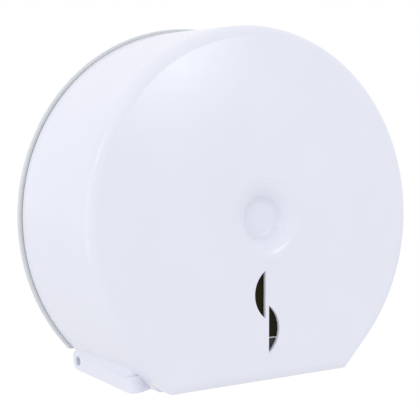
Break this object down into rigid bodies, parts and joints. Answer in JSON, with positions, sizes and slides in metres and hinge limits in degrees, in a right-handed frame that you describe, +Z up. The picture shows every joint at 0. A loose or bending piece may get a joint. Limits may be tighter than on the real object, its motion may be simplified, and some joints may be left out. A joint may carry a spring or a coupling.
{
  "type": "jumbo toilet roll dispenser",
  "caption": "Round wall dispenser for jumbo toilet rolls: a hinged white cover with a dish and sight windows, a turning roll hub, a sprung latch and serrated tear edges.",
  "frame": {"origin": "on the wall face, on the axis of the roll, at the middle of the back plate's rear face", "axes": "+X to the right of a user who faces the dispenser, +Z up, +Y into the wall, so the front looks along -Y"},
  "size_m": [0.342, 0.116, 0.307],
  "materials": {
    "white_plastic": "satin white moulding",
    "plate_grey": "light grey moulding",
    "hub_grey": "grey moulding",
    "steel": "zinc-plated",
    "spring_steel": "drawn wire",
    "acetal": "self-lubricating, off-white",
    "smoked_lens": "dark tinted, glossy",
    "black_plastic": "fine grained"
  },
  "bodies": {
    "wall_unit": {"wall_plate": "plate_grey", "spindle": "hub_grey", "spindle_screws": "steel", "thrust_washer": "steel", "hub_retainer": "steel", "retainer_screw": "steel", "hinge_pin_left": "steel", "hinge_pin_right": "steel", "latch_housing": "hub_grey", "latch_screws": "steel", "latch_spring": "spring_steel"},
    "hub": {"roll_hub": "hub_grey", "hub_flange": "hub_grey", "hub_bush_rear": "acetal", "hub_bush_front": "acetal"},
    "latch": {"latch_plunger": "white_plastic"},
    "cover": {"cover_shell": "white_plastic", "sight_lens": "smoked_lens", "lens_frame": "black_plastic", "lens_clips": "steel", "hinge_bush_left": "acetal", "hinge_bush_right": "acetal", "tear_strip_left": "white_plastic", "tear_strip_right": "white_plastic", "tear_strip_rivets": "steel"}
  },
  "joints": [
    {"name": "cover_hinge", "type": "hinge", "parent": "wall_unit", "child": "cover", "pos_m": [0, -0.009, -0.1235], "axis": [1, 0, 0], "range_deg": [0, 85]},
    {"name": "hub_spin", "type": "hinge", "parent": "wall_unit", "child": "hub", "pos_m": [0, -0.055, 0], "axis": [0, -1, 0], "continuous": true},
    {"name": "latch_press", "type": "slide", "parent": "wall_unit", "child": "latch", "axis": [0, 0, -1], "range_m": [0, 0.0055], "stiffness_N_per_m": 400, "springref_m": -0.005, "deforming": ["latch_spring"]}
  ]
}
